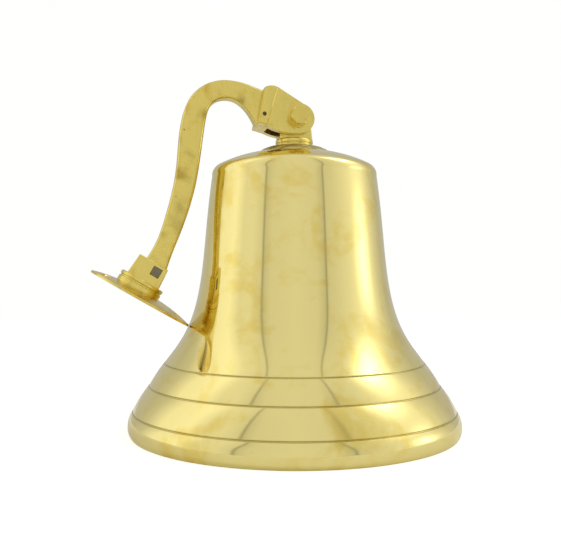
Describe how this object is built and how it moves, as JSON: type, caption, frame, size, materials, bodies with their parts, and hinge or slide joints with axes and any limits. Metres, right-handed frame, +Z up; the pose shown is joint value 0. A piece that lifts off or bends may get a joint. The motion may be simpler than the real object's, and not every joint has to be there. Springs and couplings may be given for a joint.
{
  "type": "ship bell",
  "caption": "Flared brass hand-rung bell with a turned lip, a ball clapper inside and a swinging gooseneck wall bracket on a crown pivot.",
  "frame": {"origin": "centre of the bell's mouth, on the plane the bell stands on", "axes": "+Z up the bell's axis to the crown; the wall bracket is folded towards -X; the pivot bolt lies along Y with its head towards -Y"},
  "size_m": [0.2815, 0.2552, 0.2677],
  "materials": {
    "polished_brass": "turned and polished, mirror-like, pale yellow",
    "cast_brass": "cast, hand-finished and lightly polished, with casting marks",
    "rough_brass": "as cast, unpolished and darker",
    "fastener_brass": "turned, satin",
    "dark_steel": "dull grey steel"
  },
  "bodies": {
    "bell": {"bell_shell": "polished_brass", "crown_pad": "rough_brass", "hanger": "cast_brass", "inner_washer": "fastener_brass", "clamp_nut": "fastener_brass", "lock_nut": "fastener_brass", "clapper_staple": "fastener_brass", "staple_nut": "fastener_brass"},
    "clapper_link": {"clapper_shackle": "fastener_brass", "shackle_pin": "fastener_brass", "split_pin": "dark_steel"},
    "clapper": {"clapper_rod": "fastener_brass", "clapper_ball": "polished_brass", "ball_pin": "fastener_brass", "lanyard_eye": "fastener_brass"},
    "bracket": {"bracket_arm": "cast_brass", "fork_head": "cast_brass", "fork_pin": "fastener_brass", "wall_plate": "cast_brass", "foot_socket": "cast_brass", "foot_screw": "fastener_brass", "foot_key": "dark_steel", "pivot_bolt": "fastener_brass", "pivot_nut": "fastener_brass", "head_washer": "fastener_brass", "nut_washer": "fastener_brass"}
  },
  "joints": [
    {"name": "bracket_swing", "type": "hinge", "parent": "bell", "child": "bracket", "pos_m": [0, 0, 0.24], "axis": [0, 1, 0], "range_deg": [0, 160]},
    {"name": "clapper_swing", "type": "hinge", "parent": "bell", "child": "clapper_link", "pos_m": [0, 0, 0.17], "axis": [0, 1, 0], "range_deg": [-30, 30]},
    {"name": "clapper_side_swing", "type": "hinge", "parent": "clapper_link", "child": "clapper", "pos_m": [0, 0, 0.1475], "axis": [1, 0, 0], "range_deg": [-8, 8]}
  ]
}
